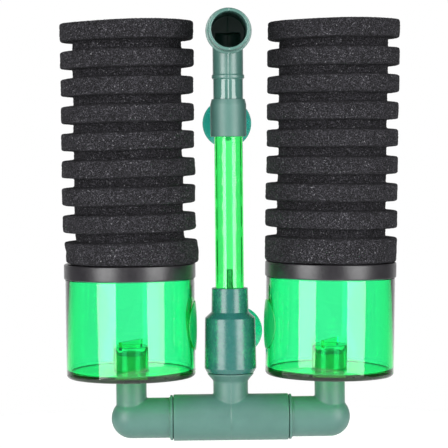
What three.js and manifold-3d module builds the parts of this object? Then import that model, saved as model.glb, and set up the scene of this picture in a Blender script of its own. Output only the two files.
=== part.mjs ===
// Twin sponge filter for an aquarium, held on the glass by two suction cups.
// Two foam sponges stand on transparent media canisters. Water is drawn through each sponge and
// canister, down a side elbow into a tee, and up the central column, where air from the nozzle
// lifts it to the outlet elbow at the top.
// Millimetres, +Z up, +X to the right, the outlet points to -Y and the glass lies at +Y.
// The origin is in the glass plane at the middle of the upper suction cup.

import * as THREE from 'three';
import { mergeVertices } from 'three/addons/utils/BufferGeometryUtils.js';
import Module from 'manifold-3d';

const wasm = await Module();
wasm.setup();

// ---- driving dimensions ----

const GAP = 0.3; // running and push-fit clearance between neighbouring pieces
const BIG_ROUND = 32; // facets round a canister or lid
const SPONGE_ROUND = 20;
const PIPE_ROUND = 20;
const SMALL_ROUND = 12;

const GLASS_Y = 40.6; // from the column's axis to the glass
const UPPER_CUP_Z = 182.9; // heights are given from the tee's underside
const LOWER_CUP_Z = 59.6;

// pipework
const TEE_RADIUS = 13.35;
const TEE_HALF_LENGTH = 33.1;
const TEE_STEM_RADIUS = 10;
const TEE_CUP_RADIUS = 13.3; // the flared cup that carries the air chamber
const TEE_CUP_Z = [35.2, 39.2]; // foot and rim of the flare
const PIPE_RADIUS = 11.6; // the elbows' wide limb
const PIPE_BORE = 10;
const LEG_RADIUS = 8.75; // the elbows' narrow limb
const SPIGOT_RADIUS = 8.63; // the end of the narrow limb
const LEG_BORE = 7.2;
const BEAD_RADIUS = 13; // stop ring on the wide limb
const BEAD_WIDTH = 1.5;
const LEG_BEAD_RADIUS = 9.4;
const LEG_BEAD = [24, 26]; // stop ring on the narrow limb, from the elbow's corner
const TEE_Z = TEE_RADIUS;

const ARM_X = 57.2; // from the column to a side elbow's corner
const ARM_END_X = 19; // the open end of a side elbow, inside the tee
const ARM_LEG_LENGTH = 36.2;

const OUTLET_Z = 234.2; // axis of the outlet's mouth
const OUTLET_BEAD_Y = 22.6;
const OUTLET_LENGTH = 40.6;
const OUTLET_LEG_LENGTH = 47;

// column
const CHAMBER_TURN = THREE.MathUtils.degToRad(8);
const CHAMBER_SPIGOT_Z = 28.5; // the lower end of its spigot, inside the tee
const CHAMBER_BASE_Z = 39.5;
const CHAMBER_BASE_RADIUS = 13.6; // underside, inside the foot's chamfer
const CHAMBER_FOOT_CHAMFER = 2.5;
const CHAMBER_RADIUS = [14.9, 14.4]; // foot and shoulder
const CHAMBER_SHOULDER_Z = [70.9, 74.3];
const CHAMBER_WALL = 2;
const COLLAR_RADIUS = 10.5;
const COLLAR_TOP_Z = 88.2;
const LIFT_RADIUS = 8.2;
const LIFT_BORE = 6.8;
const LIFT_Z = [77, 184];
const COUPLING_RADIUS = 10.3;
const COUPLING_Z = [175, 196.5];
const COUPLING_CHAMFER = { width: 0.8, height: 3.1 };
const BOSS_RADIUS = 5.2; // socket for a suction cup's knob
const SOCKET_FLOOR = 2; // boss left behind the knob
const KNOB_RADIUS = 2.3;
const CUP_RADIUS = 14.5;
const CUP_LIP = 1.4; // flat width of the rim that seals on the glass
const CUP_HUB_RADIUS = 6.5;
const CUP_HUB_Y = 20.5;
const CUP_KNOB_Y = 15.4;

// air supply
const AIR_ARM_Z = 71.2;
const AIR_ARM_START_Y = 1.3; // the arm's tip, inside the nozzle's hub
const AIR_RISER_Y = 18.2;
const AIR_BORE = 1.1;
const NIPPLE = { height: 18, radius: 2.1, barbRadius: 3, barbs: 2, barbPitch: 6, cornerRadius: 3 };
const NOZZLE_RADIUS = 1.85;
const NOZZLE_TOP_Z = 99;
const HUB = { radius: 3.8, below: 3.4, above: 3, taper: 1.5 };

// canister stacks
const LEAN = { left: THREE.MathUtils.degToRad(0.2), right: THREE.MathUtils.degToRad(1.1) }; // outwards
const LEAN_PIVOT_Z = 46;
const CANISTER_RADIUS = [37, 37.1]; // foot and top
const CANISTER_WALL = 2.2;
const CANISTER_Z = [37.4, 101];
const CANISTER_FLOOR = 3.5;
const RIM_RADIUS = 35.9; // the canister's neck inside the lid
const SLEEVE_RADIUS = 10.25;
const SLEEVE_TOP_Z = 54.2;
const BRIDGE = { length: 19, thickness: 2.2, topZ: 57.2, turn: THREE.MathUtils.degToRad(54) };
const PAD = { radius: 14.3, z: 66.7, proud: 1.2 };
const LID_RADIUS = 37.75;
const LID_Z = [94.2, 102.8];
const LID_PLATE = 1.5;
const LID_CHAMFER = 0.6;
const STRAINER_RADIUS = 12;
const STRAINER_WALL = 1.5;
const STRAINER_TOP_Z = 213;
const FLANGE = { radius: 15, thickness: 2 }; // stops the strainer under the lid
const SLOT = { levels: 2, width: 3, bridge: 6, spokes: 4 };
const SPONGE = {
  radius: 38.3, grooveRadius: 31, z: [103.1, 240.6], rings: 9, pitch: 15.7, ring: 9.6, boreTopZ: 216,
};

// ---- materials ----

const COLORS = {
  fittings: 0x4f8370,
  chamber: 0x2f6f66,
  outlet: 0x2f6058,
  greenClear: 0x32f082,
  liftClear: 0x50ff7d,
  cupClear: 0x18a878,
  lid: 0x2c2d2d,
  foam: 0x2b2b2d,
};

function plastic(color, roughness, opacity = 1) {
  const transparent = opacity < 1;
  return new THREE.MeshStandardMaterial({ color, roughness, metalness: 0, transparent, opacity });
}

// ---- solid helpers ----

function signedVolume(positions, indices) {
  const [a, b, c] = [new THREE.Vector3(), new THREE.Vector3(), new THREE.Vector3()];
  let sum = 0;
  for (let i = 0; i < indices.length; i += 3) {
    a.fromArray(positions, 3 * indices[i]);
    b.fromArray(positions, 3 * indices[i + 1]);
    c.fromArray(positions, 3 * indices[i + 2]);
    sum += a.dot(b.cross(c)) / 6;
  }
  return sum;
}

// A closed geometry as a solid, with its faces turned outwards.
function toSolid(geometry) {
  geometry.deleteAttribute('normal');
  geometry.deleteAttribute('uv');
  const merged = mergeVertices(geometry, 1e-4);
  const positions = merged.attributes.position.array;
  const all = merged.index.array;
  const kept = [];
  for (let i = 0; i < all.length; i += 3) {
    const [a, b, c] = all.slice(i, i + 3);
    if (a !== b && b !== c && c !== a) kept.push(a, b, c);
  }
  if (signedVolume(positions, kept) < 0) kept.reverse();
  return new wasm.Manifold(new wasm.Mesh({
    numProp: 3,
    vertProperties: new Float32Array(positions),
    triVerts: new Uint32Array(kept),
  }));
}

function toGeometry(solid) {
  const mesh = solid.getMesh();
  const geometry = new THREE.BufferGeometry();
  geometry.setAttribute('position', new THREE.BufferAttribute(mesh.vertProperties, 3));
  geometry.setIndex(new THREE.BufferAttribute(mesh.triVerts, 1));
  geometry.computeVertexNormals();
  return geometry;
}

// A solid of revolution about Z from a closed outline of [radius, height] corners.
function revolve(outline, segments) {
  const points = outline.map(([r, z]) => new THREE.Vector2(r, z));
  const onAxis = outline[0][0] === 0 && outline.at(-1)[0] === 0;
  if (!onAxis) points.push(points[0].clone());
  return toSolid(new THREE.LatheGeometry(points, segments).rotateX(Math.PI / 2));
}

// A round bar between two points.
function rod(radius, from, to, segments = PIPE_ROUND) {
  const start = new THREE.Vector3(...from);
  const end = new THREE.Vector3(...to);
  const along = end.clone().sub(start);
  const bar = new THREE.CylinderGeometry(radius, radius, along.length(), segments);
  const turn = new THREE.Quaternion().setFromUnitVectors(new THREE.Vector3(0, 1, 0), along.normalize());
  const middle = start.add(end).multiplyScalar(0.5);
  return toSolid(bar.applyQuaternion(turn).translate(middle.x, middle.y, middle.z));
}

function ball(radius, center) {
  return toSolid(new THREE.SphereGeometry(radius, PIPE_ROUND, PIPE_ROUND / 2).translate(...center));
}

function block(size, center, turnZ = 0) {
  const box = new THREE.BoxGeometry(...size).translate(...center);
  return toSolid(box.rotateZ(turnZ));
}

function join(...solids) {
  return solids.reduce((whole, solid) => whole.add(solid));
}

function cut(solid, ...tools) {
  return tools.reduce((rest, tool) => rest.subtract(tool), solid);
}

function addMesh(group, name, solid, material) {
  const mesh = new THREE.Mesh(toGeometry(solid), material);
  mesh.name = name;
  group.add(mesh);
  return mesh;
}

// ---- pipework ----

// An elbow with its corner at the origin: the wide limb runs along +X and the narrow leg along +Z.
function elbow({ beadStart, limbLength, legLength }) {
  const outside = join(
    ball(PIPE_RADIUS, [0, 0, 0]),
    rod(PIPE_RADIUS, [0, 0, 0], [limbLength, 0, 0]),
    rod(BEAD_RADIUS, [beadStart, 0, 0], [beadStart + BEAD_WIDTH, 0, 0]),
    rod(LEG_RADIUS, [0, 0, 0], [0, 0, LEG_BEAD[0]]),
    rod(LEG_BEAD_RADIUS, [0, 0, LEG_BEAD[0]], [0, 0, LEG_BEAD[1]]),
    rod(SPIGOT_RADIUS, [0, 0, LEG_BEAD[1]], [0, 0, legLength]),
  );
  return cut(
    outside,
    rod(PIPE_BORE, [0, 0, 0], [limbLength + 1, 0, 0]),
    rod(LEG_BORE, [0, 0, 0], [0, 0, legLength + 1]),
  );
}

function tee() {
  const stem = revolve([
    [0, TEE_Z],
    [TEE_STEM_RADIUS, TEE_Z],
    [TEE_STEM_RADIUS, TEE_CUP_Z[0]],
    [TEE_CUP_RADIUS, TEE_CUP_Z[1]],
    [0, TEE_CUP_Z[1]],
  ], PIPE_ROUND);
  const barrel = rod(TEE_RADIUS, [-TEE_HALF_LENGTH, 0, TEE_Z], [TEE_HALF_LENGTH, 0, TEE_Z]);
  const end = TEE_HALF_LENGTH + 1;
  return cut(
    join(barrel, stem),
    rod(PIPE_RADIUS + GAP, [-end, 0, TEE_Z], [end, 0, TEE_Z]),
    rod(SPIGOT_RADIUS + GAP, [0, 0, TEE_Z], [0, 0, TEE_CUP_Z[1] + 1]),
  );
}

// ---- column ----

// A boss behind a round body, with a blind socket for a suction cup's knob.
function cupBoss(fromY, z) {
  const toY = CUP_HUB_Y - GAP;
  const boss = rod(BOSS_RADIUS, [0, fromY, z], [0, toY, z], SMALL_ROUND);
  const socket = rod(KNOB_RADIUS + GAP, [0, fromY + SOCKET_FLOOR, z], [0, toY + 1, z], SMALL_ROUND);
  return { boss, socket };
}

function airChamber() {
  const [footRadius, shoulderRadius] = CHAMBER_RADIUS;
  const [shoulderZ, neckZ] = CHAMBER_SHOULDER_Z;
  const innerShoulder = shoulderRadius - CHAMBER_WALL;
  const shell = revolve([
    [LEG_BORE, CHAMBER_SPIGOT_Z],
    [SPIGOT_RADIUS, CHAMBER_SPIGOT_Z],
    [SPIGOT_RADIUS, CHAMBER_BASE_Z],
    [CHAMBER_BASE_RADIUS, CHAMBER_BASE_Z],
    [footRadius, CHAMBER_BASE_Z + CHAMBER_FOOT_CHAMFER],
    [shoulderRadius, shoulderZ],
    [COLLAR_RADIUS, neckZ],
    [COLLAR_RADIUS, COLLAR_TOP_Z],
    [LIFT_RADIUS + GAP, COLLAR_TOP_Z],
    [LIFT_RADIUS + GAP, LIFT_Z[0] - GAP],
    [LIFT_BORE, LIFT_Z[0] - GAP],
    [LIFT_BORE, neckZ + 0.5],
    [innerShoulder, shoulderZ - 1],
    [footRadius - CHAMBER_WALL, CHAMBER_BASE_Z + 4],
    [LEG_BORE, CHAMBER_BASE_Z + CHAMBER_WALL],
  ], PIPE_ROUND);
  const { boss, socket } = cupBoss(innerShoulder + 0.5, LOWER_CUP_Z);
  const inletHole = rod(
    NOZZLE_RADIUS + GAP,
    [0, HUB.radius + 1, AIR_ARM_Z],
    [0, AIR_RISER_Y, AIR_ARM_Z],
    SMALL_ROUND,
  );
  return cut(shell.add(boss), socket, inletHole);
}

// The hose nipple: an arm through the chamber's rear shoulder and an upright barbed riser.
function airInlet() {
  const corner = [0, AIR_RISER_Y, AIR_ARM_Z];
  const riserTop = AIR_ARM_Z + NIPPLE.height;
  const outline = [[0, AIR_ARM_Z], [NIPPLE.radius, AIR_ARM_Z]];
  for (let i = 1; i <= NIPPLE.barbs; i += 1) {
    const barbZ = AIR_ARM_Z + i * NIPPLE.barbPitch;
    outline.push([NIPPLE.radius, barbZ], [NIPPLE.barbRadius, barbZ]);
  }
  outline.push([NIPPLE.radius, riserTop], [0, riserTop]);
  const outside = join(
    rod(NOZZLE_RADIUS, [0, AIR_ARM_START_Y, AIR_ARM_Z], corner, SMALL_ROUND),
    rod(
      NIPPLE.cornerRadius,
      [0, AIR_RISER_Y - NIPPLE.cornerRadius, AIR_ARM_Z],
      [0, AIR_RISER_Y + NIPPLE.radius, AIR_ARM_Z],
      SMALL_ROUND,
    ),
    revolve(outline, SMALL_ROUND).translate([0, AIR_RISER_Y, 0]),
  );
  return cut(
    outside,
    rod(AIR_BORE, [0, 0, AIR_ARM_Z], corner, SMALL_ROUND),
    rod(AIR_BORE, [0, AIR_RISER_Y, AIR_ARM_Z - 1], [0, AIR_RISER_Y, riserTop + 1], SMALL_ROUND),
  );
}

// The upright nozzle in the middle of the lift tube, with a hub that takes the inlet's arm.
function airNozzle() {
  const outside = revolve([
    [0, AIR_ARM_Z - HUB.below],
    [HUB.radius, AIR_ARM_Z - HUB.below],
    [HUB.radius, AIR_ARM_Z + HUB.above],
    [NOZZLE_RADIUS, AIR_ARM_Z + HUB.above + HUB.taper],
    [NOZZLE_RADIUS, NOZZLE_TOP_Z],
    [0, NOZZLE_TOP_Z],
  ], SMALL_ROUND);
  const armSocketStart = AIR_ARM_START_Y - GAP;
  return cut(
    outside,
    rod(NOZZLE_RADIUS + GAP, [0, armSocketStart, AIR_ARM_Z], [0, HUB.radius + 1, AIR_ARM_Z], SMALL_ROUND),
    rod(AIR_BORE, [0, 0, AIR_ARM_Z], [0, AIR_ARM_START_Y, AIR_ARM_Z], SMALL_ROUND),
    rod(AIR_BORE, [0, 0, AIR_ARM_Z - 1], [0, 0, NOZZLE_TOP_Z + 1], SMALL_ROUND),
  );
}

function liftTube() {
  return revolve([
    [LIFT_BORE, LIFT_Z[0]],
    [LIFT_RADIUS, LIFT_Z[0]],
    [LIFT_RADIUS, LIFT_Z[1]],
    [LIFT_BORE, LIFT_Z[1]],
  ], PIPE_ROUND);
}

function coupling() {
  const [bottom, top] = COUPLING_Z;
  const spigotEnd = OUTLET_Z - OUTLET_LEG_LENGTH;
  const shell = revolve([
    [LIFT_RADIUS + GAP, bottom],
    [COUPLING_RADIUS, bottom],
    [COUPLING_RADIUS, top - COUPLING_CHAMFER.height],
    [COUPLING_RADIUS - COUPLING_CHAMFER.width, top],
    [SPIGOT_RADIUS + GAP, top],
    [SPIGOT_RADIUS + GAP, spigotEnd - GAP],
    [LIFT_BORE, spigotEnd - GAP],
    [LIFT_BORE, LIFT_Z[1] + GAP],
    [LIFT_RADIUS + GAP, LIFT_Z[1] + GAP],
  ], PIPE_ROUND);
  const { boss, socket } = cupBoss(COUPLING_RADIUS - 1.2, UPPER_CUP_Z);
  return cut(shell.add(boss), socket);
}

// A suction cup behind the column: knob, hub, flared skirt and hollow face on the glass.
function suctionCup(z) {
  const cup = revolve([
    [0, CUP_KNOB_Y],
    [KNOB_RADIUS, CUP_KNOB_Y],
    [KNOB_RADIUS, CUP_HUB_Y],
    [CUP_HUB_RADIUS, CUP_HUB_Y],
    [CUP_HUB_RADIUS + 0.5, CUP_HUB_Y + 6],
    [CUP_RADIUS - 1.2, GLASS_Y - 3.5],
    [CUP_RADIUS, GLASS_Y - 1],
    [CUP_RADIUS, GLASS_Y],
    [CUP_RADIUS - CUP_LIP, GLASS_Y],
    [CUP_RADIUS - 3.2, GLASS_Y - 2.4],
    [4, GLASS_Y - 9],
    [0, GLASS_Y - 9.5],
  ], PIPE_ROUND);
  return cup.rotate([-90, 0, 0]).translate([0, 0, z]);
}

// ---- canister stacks ----

// A canister with its axis on Z. Its raised round pad follows the wall and faces +X.
function canister() {
  const [bottom, top] = CANISTER_Z;
  const [footRadius, topRadius] = CANISTER_RADIUS;
  const floorZ = bottom + CANISTER_FLOOR;
  const neckZ = LID_Z[0] - GAP;
  const innerFoot = footRadius - CANISTER_WALL;
  const innerTop = topRadius - CANISTER_WALL;
  const shell = revolve([
    [0, bottom],
    [footRadius - 2.5, bottom],
    [footRadius - 0.7, bottom + 0.7],
    [footRadius, bottom + 2.5],
    [topRadius, neckZ],
    [RIM_RADIUS, neckZ],
    [RIM_RADIUS, top],
    [innerTop, top],
    [innerFoot, floorZ + 1],
    [innerFoot - 1, floorZ],
    [0, floorZ],
  ], BIG_ROUND);
  const sleeve = rod(SLEEVE_RADIUS, [0, 0, bottom + 1], [0, 0, SLEEVE_TOP_Z]);
  const bridgeBase = SLEEVE_TOP_Z - 1.5;
  const bridge = block(
    [BRIDGE.length, BRIDGE.thickness, BRIDGE.topZ - bridgeBase],
    [0, 0, (BRIDGE.topZ + bridgeBase) / 2],
    BRIDGE.turn,
  );
  const padBand = revolve([
    [footRadius - 1, floorZ],
    [footRadius + PAD.proud, floorZ],
    [footRadius + PAD.proud, neckZ],
    [footRadius - 1, neckZ],
  ], BIG_ROUND);
  const pad = rod(PAD.radius, [0, 0, PAD.z], [2 * footRadius, 0, PAD.z]).intersect(padBand);
  const stemHole = rod(SPIGOT_RADIUS + GAP, [0, 0, bottom - 1], [0, 0, SLEEVE_TOP_Z + 1]);
  const beadRecess = rod(LEG_BEAD_RADIUS + 0.5, [0, 0, bottom - 1], [0, 0, TEE_Z + LEG_BEAD[1] + GAP]);
  const cup = join(shell, pad, sleeve);
  return cut(cup, stemHole, beadRecess).add(bridge);
}

function lid() {
  const [bottom, top] = LID_Z;
  const underside = top - LID_PLATE;
  return revolve([
    [RIM_RADIUS + GAP, bottom],
    [LID_RADIUS, bottom],
    [LID_RADIUS, top - LID_CHAMFER],
    [LID_RADIUS - LID_CHAMFER, top],
    [STRAINER_RADIUS + GAP, top],
    [STRAINER_RADIUS + GAP, underside],
    [RIM_RADIUS + GAP, underside],
  ], BIG_ROUND);
}

// A slotted tube with a closed top and a flange that stops it under the lid.
function strainer() {
  const flangeTop = LID_Z[1] - LID_PLATE - GAP;
  const flangeBottom = flangeTop - FLANGE.thickness;
  const bore = STRAINER_RADIUS - STRAINER_WALL;
  const tube = revolve([
    [0, STRAINER_TOP_Z - STRAINER_WALL],
    [0, STRAINER_TOP_Z],
    [STRAINER_RADIUS - 2, STRAINER_TOP_Z],
    [STRAINER_RADIUS, STRAINER_TOP_Z - 2],
    [STRAINER_RADIUS, flangeTop],
    [FLANGE.radius, flangeTop],
    [FLANGE.radius, flangeBottom],
    [bore, flangeBottom],
    [bore, STRAINER_TOP_Z - STRAINER_WALL - 1],
    [0, STRAINER_TOP_Z - STRAINER_WALL],
  ], PIPE_ROUND);
  const slotsBottom = LID_Z[1] + 4;
  const slotPitch = (STRAINER_TOP_Z - LID_Z[1] - SLOT.bridge) / SLOT.levels;
  const slots = [];
  for (let level = 0; level < SLOT.levels; level += 1) {
    const z = slotsBottom + (level + 0.5) * slotPitch;
    for (let i = 0; i < SLOT.spokes; i += 1) {
      const size = [3 * STRAINER_RADIUS, SLOT.width, slotPitch - SLOT.bridge];
      slots.push(block(size, [0, 0, z], (i * Math.PI) / SLOT.spokes));
    }
  }
  return cut(tube, ...slots);
}

// Foam rings cut round a core, with a blind bore that stands over the strainer.
function sponge() {
  const [bottom, top] = SPONGE.z;
  const bore = STRAINER_RADIUS + GAP + 0.1;
  const outline = [[bore, bottom]];
  for (let i = 0; i < SPONGE.rings; i += 1) {
    const ringTop = top - (SPONGE.rings - 1 - i) * SPONGE.pitch;
    const ringBottom = i === 0 ? bottom : ringTop - SPONGE.ring;
    if (i > 0) outline.push([SPONGE.grooveRadius, ringBottom]);
    outline.push([SPONGE.radius, ringBottom], [SPONGE.radius, ringTop]);
    if (i < SPONGE.rings - 1) outline.push([SPONGE.grooveRadius, ringTop]);
  }
  outline.push([0, top], [0, SPONGE.boreTopZ], [bore, SPONGE.boreTopZ]);
  return revolve(outline, SPONGE_ROUND);
}

// ---- assembly ----

const fittings = plastic(COLORS.fittings, 0.35);

function addColumn(filter) {
  addMesh(filter, 'tee', tee(), fittings.clone());
  const chamberGroup = new THREE.Group();
  chamberGroup.rotation.z = -CHAMBER_TURN;
  filter.add(chamberGroup);
  addMesh(chamberGroup, 'air_chamber', airChamber(), plastic(COLORS.chamber, 0.3));
  addMesh(chamberGroup, 'air_inlet', airInlet(), plastic(COLORS.chamber, 0.4));
  addMesh(chamberGroup, 'air_nozzle', airNozzle(), plastic(COLORS.chamber, 0.4));
  addMesh(chamberGroup, 'lower_suction_cup', suctionCup(LOWER_CUP_Z), plastic(COLORS.cupClear, 0.2, 0.7));
  addMesh(filter, 'lift_tube', liftTube(), plastic(COLORS.liftClear, 0.1, 0.6));
  addMesh(filter, 'coupling', coupling(), fittings.clone());
  addMesh(filter, 'upper_suction_cup', suctionCup(UPPER_CUP_Z), plastic(COLORS.cupClear, 0.2, 0.7));
  const outletElbow = elbow({
    beadStart: OUTLET_BEAD_Y,
    limbLength: OUTLET_LENGTH,
    legLength: OUTLET_LEG_LENGTH,
  });
  const outlet = addMesh(filter, 'outlet_elbow', outletElbow, plastic(COLORS.outlet, 0.25));
  outlet.rotation.set(Math.PI, 0, -Math.PI / 2, 'ZXY');
  outlet.position.z = OUTLET_Z;
}

// side is -1 on the left and +1 on the right; padTurn brings the canister's pad towards the front.
function addArm(filter, name, side, padTurn) {
  const arm = new THREE.Group();
  arm.position.x = side * ARM_X;
  filter.add(arm);
  const sideElbow = elbow({
    beadStart: ARM_X - TEE_HALF_LENGTH - GAP - BEAD_WIDTH,
    limbLength: ARM_X - ARM_END_X,
    legLength: ARM_LEG_LENGTH,
  });
  const elbowMesh = addMesh(arm, `${name}_elbow`, sideElbow, fittings.clone());
  elbowMesh.position.z = TEE_Z;
  elbowMesh.rotation.z = side > 0 ? Math.PI : 0;

  const stack = new THREE.Group();
  const lean = LEAN[name];
  stack.rotation.y = side * lean;
  stack.position.x = -side * LEAN_PIVOT_Z * Math.sin(lean);
  stack.position.z = LEAN_PIVOT_Z * (1 - Math.cos(lean));
  arm.add(stack);
  const canisterMesh = addMesh(stack, `${name}_canister`, canister(), plastic(COLORS.greenClear, 0.1, 0.5));
  canisterMesh.rotation.z = side > 0 ? Math.PI + padTurn : -padTurn;
  addMesh(stack, `${name}_lid`, lid(), plastic(COLORS.lid, 0.35));
  addMesh(stack, `${name}_strainer`, strainer(), plastic(COLORS.lid, 0.5));
  addMesh(stack, `${name}_sponge`, sponge(), plastic(COLORS.foam, 0.95));
}

const filter = new THREE.Group();
filter.position.set(0, -GLASS_Y, -UPPER_CUP_Z);
addColumn(filter);
addArm(filter, 'left', -1, THREE.MathUtils.degToRad(2));
addArm(filter, 'right', 1, THREE.MathUtils.degToRad(6.8));

const part = new THREE.Group();
part.add(filter);

export default part;
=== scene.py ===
"""Twin sponge filter: its visible meshes, materials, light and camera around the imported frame."""

import math
import random

import bmesh
import bpy
import numpy as np
from mathutils import Matrix, Vector


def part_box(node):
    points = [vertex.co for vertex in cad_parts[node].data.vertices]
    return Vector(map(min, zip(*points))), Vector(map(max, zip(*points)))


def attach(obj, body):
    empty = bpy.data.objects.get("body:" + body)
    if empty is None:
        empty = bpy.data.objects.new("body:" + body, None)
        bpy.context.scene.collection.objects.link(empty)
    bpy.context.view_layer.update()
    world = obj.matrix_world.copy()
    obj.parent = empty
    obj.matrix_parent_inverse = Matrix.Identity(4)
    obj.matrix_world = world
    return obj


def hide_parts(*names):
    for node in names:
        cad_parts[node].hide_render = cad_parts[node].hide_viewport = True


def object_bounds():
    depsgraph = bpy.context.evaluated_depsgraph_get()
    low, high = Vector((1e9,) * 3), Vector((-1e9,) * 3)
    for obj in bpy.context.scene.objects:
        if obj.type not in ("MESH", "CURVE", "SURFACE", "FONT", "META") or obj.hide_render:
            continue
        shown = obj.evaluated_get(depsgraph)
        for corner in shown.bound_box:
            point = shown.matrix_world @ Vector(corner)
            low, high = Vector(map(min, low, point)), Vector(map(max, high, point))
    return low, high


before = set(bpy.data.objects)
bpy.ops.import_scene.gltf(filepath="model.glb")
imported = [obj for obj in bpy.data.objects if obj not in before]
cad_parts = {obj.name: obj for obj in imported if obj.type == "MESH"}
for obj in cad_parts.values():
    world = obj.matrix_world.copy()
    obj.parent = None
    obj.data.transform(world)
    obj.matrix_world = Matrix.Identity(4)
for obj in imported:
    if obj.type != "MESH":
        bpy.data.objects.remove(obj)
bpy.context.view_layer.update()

# ---- driving dimensions, in millimetres from the column's axis and the tee's underside ----

MM = 0.001
FINE = 96  # steps round a turned piece
COARSE = 48  # steps round a thin one
BROAD = 144  # steps round a canister or a lid
TUBE_STEPS = 128  # steps round the clear tube
SPONGE_STEPS = 320  # steps round a sponge
SPONGE_GRAIN = 0.75  # longest step along a sponge's outline
VOXEL = 0.4  # grain of the remeshed pipework, which rounds its edges as moulding does

tee_low, tee_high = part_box("tee")
COLUMN = Vector((0, (tee_low[1] + tee_high[1]) / 2, tee_low[2]))
TEE_RADIUS = (tee_high[1] - tee_low[1]) / 2 / MM
TEE_HALF = tee_high[0] / MM
GLASS_Y = -COLUMN.y / MM
UPPER_CUP_Z = -COLUMN.z / MM
CENTER = Matrix.Identity(4)

GAP = 0.3  # clearance between neighbouring pieces

# pipework
TEE_STEM_RADIUS = 10
TEE_CUP_RADIUS = 13.3
PIPE_RADIUS = 11.6
PIPE_BORE = 10
LEG_RADIUS = 8.75
SPIGOT_RADIUS = 8.63
LEG_BORE = 7.2
BEAD_RADIUS = 13
BEAD_WIDTH = 1.5
LEG_BEAD_RADIUS = 9.4
LEG_BEAD = (24, 26)  # from the elbow's corner
ARM_X = 57.2
ARM_END_X = 19
ARM_LEG_LENGTH = 36.2
OUTLET_Z = 234.2
OUTLET_BEAD_Y = 22.6
OUTLET_LEG_LENGTH = 47

# column
CHAMBER_TURN = Matrix.Rotation(math.radians(-8), 4, "Z")
CHAMBER_SPIGOT_Z = 28.5
CHAMBER_BASE_Z = 39.5
CHAMBER_SHOULDER_Z = (70.9, 74.3)
CHAMBER_WALL = 2
CHAMBER_BASE_RADIUS = 13.6
CHAMBER_FOOT_RADIUS = 14.9
CHAMBER_FOOT_CHAMFER = 2.5
CHAMBER_SHOULDER_RADIUS = 14.4
COLLAR_RADIUS = (10.65, 10.35)
LIFT_RADIUS = 8.2
LIFT_BORE = 6.8
COUPLING_RADIUS = 10.3
LOWER_CUP_Z = 59.6
CUP_RADIUS = 14.5
CUP_HUB_RADIUS = 6.5
CUP_HUB_Y = 20.5
CUP_KNOB_Y = 15.4
KNOB_RADIUS = 2.3
BOSS_RADIUS = 5.2
AIR_ARM_Z = 71.2
AIR_ARM_START_Y = 1.3
AIR_RISER_Y = 18.2
AIR_BORE = 1.1
NIPPLE_HEIGHT = 18
NIPPLE_RADIUS = 2.1
BARB_RADIUS = 3
BARB_PITCH = 6
NOZZLE_RADIUS = 1.85
NOZZLE_TOP_Z = 99
HUB_RADIUS = 3.8

# canister stacks
LEAN = {"left": math.radians(0.2), "right": math.radians(1.1)}
LEAN_PIVOT_Z = 46
CANISTER_RADIUS = (37, 37.1)  # foot and top
CANISTER_WALL = 2.2
CANISTER_Z = (37.4, 101)
CANISTER_FLOOR = 3.5
# the band round the canister's foot that is painted dark: painted shade for the darkening at the thick
# rounded foot
SHADE_BAND_WIDTH = 2.6
SHADE_BAND_HEIGHT = 2.2
RIM_RADIUS = 35.9
SLEEVE_RADIUS = 10.25
SLEEVE_TOP_Z = 54.2
BRIDGE_SIZE = (19, 2.2, 4.5)
BRIDGE_TURN = math.radians(54)
BRIDGE_TOP_Z = 57.2
PAD_RADIUS = 14.3
PAD_Z = 66.7
PAD_PROUD = 1.2
PAD_TURN = {"left": math.radians(2), "right": math.radians(6.8)}  # towards the front
LID_RADIUS = 37.75
LID_Z = (94.2, 102.8)
LID_PLATE = 1.5
STRAINER_RADIUS = 12
STRAINER_WALL = 1.5
STRAINER_TOP_Z = 213
FLANGE_RADIUS = 15
FLANGE_THICKNESS = 2

# sponges: nine rings on a core; each sponge has its own sag, from foot to top
SPONGE_Z = (103.1, 240.6)
RING_COUNT = 9
RING_PITCH = 15.65
RING_THICKNESS = 9.7
TOP_RING_THICKNESS = 10.4
RING_FLARE = 0.6  # how much each flank of a ring spreads towards the core
RING_FILLET = 1.5
GROOVE_FILLET = 1.0
CORE_RADIUS = 31
SPONGE_BORE = 12.4
SPONGE_BORE_TOP_Z = 216
SPONGES = {
    "left": {"radius": 38.1, "tilt": (0.015, 0.015), "lift": 1.2, "foot_shift": 1.6, "seed": 11},
    "right": {"radius": 37.7, "tilt": (-0.006, 0.035), "lift": 2.6, "foot_shift": 0.0, "seed": 23},
}

# the studio: how much darker its ceiling and its front are, and what diffuse light loses
CEILING_DARKNESS = 0.6
FRONT_DARKNESS = 0.8
DIFFUSE_DARKNESS = 0.25
LEAST_BRIGHTNESS = 0.15
SOFTBOXES = {"left_softbox": (-43, 19), "right_softbox": (45, 18)}  # azimuth in degrees and power

# colours, each as the darker and the lighter shade of its streaks or mottling
FITTING_COLORS = ((0.041, 0.110, 0.092), (0.050, 0.125, 0.106))
CHAMBER_COLORS = ((0.010, 0.082, 0.070), (0.014, 0.096, 0.084))
VINYL_COLORS = ((0.0, 0.54, 0.42), (0.004, 0.64, 0.50))
LID_COLORS = ((0.006, 0.005, 0.007), (0.011, 0.010, 0.012))

# clear plastics: the tint and density of their depth, and the colour they give to shadows
TUBE_DEPTH = ((0.10, 0.985, 0.45), 950, (0.35, 0.98, 0.5))
CANISTER_DEPTH = ((0.07, 0.980, 0.67), 780, (0.25, 0.95, 0.5))
PAD_COLOR = (0.0, 0.36, 0.08)
# painted shade: a dark grey-green skin on the canister's foot band, standing in for the darkening the thick
# rounded foot shows
FOOT_SHADE_COLOR = (0.03, 0.06, 0.035)


def height_of(node, corner):
    """A node's lowest (0) or highest (1) point above the tee's underside, in millimetres."""
    return (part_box(node)[corner][2] - COLUMN.z) / MM


LIFT_BOTTOM, LIFT_TOP = height_of("lift_tube", 0), height_of("lift_tube", 1)


# ---- mesh helpers ----

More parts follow.
